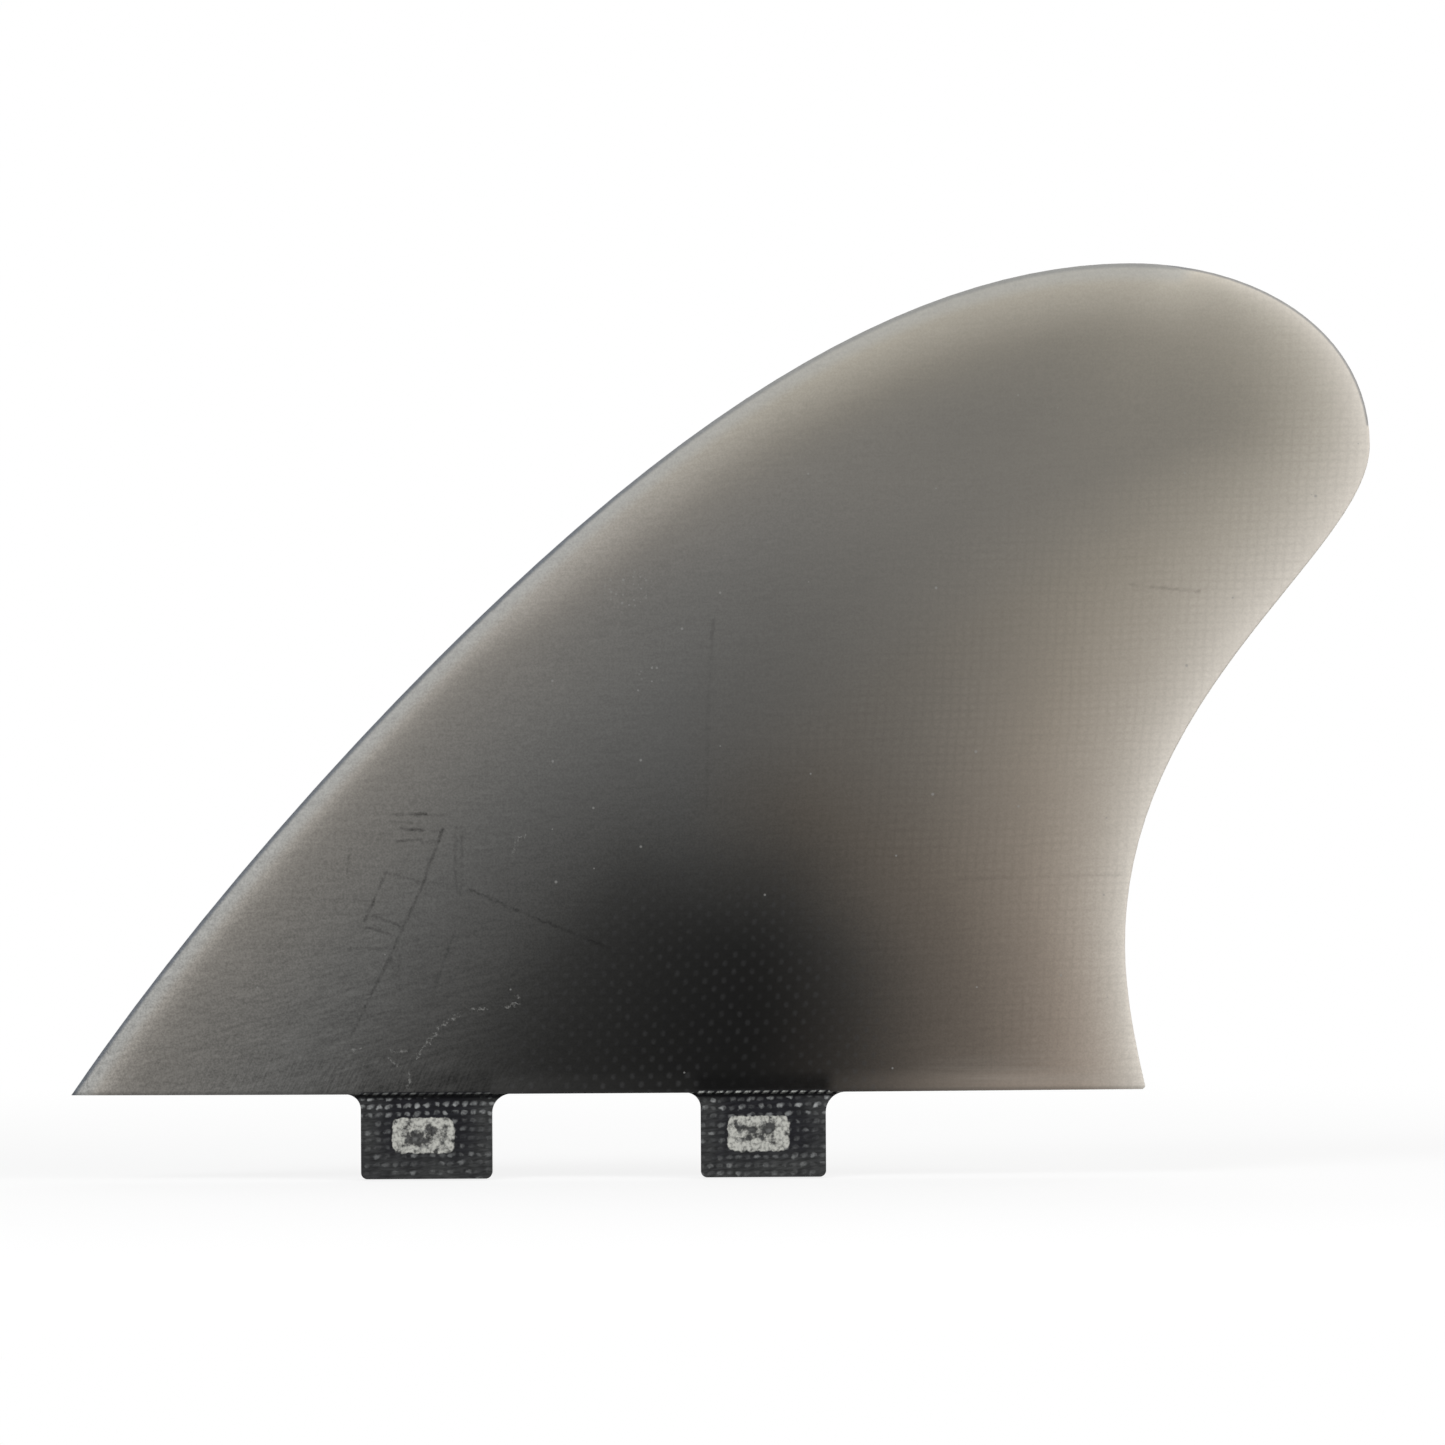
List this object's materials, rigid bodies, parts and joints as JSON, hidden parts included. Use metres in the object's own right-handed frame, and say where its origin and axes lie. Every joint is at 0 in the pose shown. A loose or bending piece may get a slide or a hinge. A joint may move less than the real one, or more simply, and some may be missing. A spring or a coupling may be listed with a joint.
{
  "type": "surfboard fin",
  "caption": "Raked keel side fin of solid glass laminate, foiled outside and flat inside, with rectangular mounting tabs moulded in one with the blade.",
  "frame": {"origin": "on the base line that seats on the board, midway between the two tabs, in the tabs' middle plane", "axes": "+Z from the board up to the tip, +X aft from the nose to the trailing edge, +Y out of the flat inner face, so the foiled outer face looks along -Y"},
  "size_m": [0.246, 0.0089, 0.172],
  "materials": {
    "laminate": "smoke-tinted translucent woven glass and resin, polished, near black where thick and pale grey beige at the thin tip and trailing edge"
  },
  "bodies": {
    "root": {"fin": "laminate"}
  },
  "joints": []
}
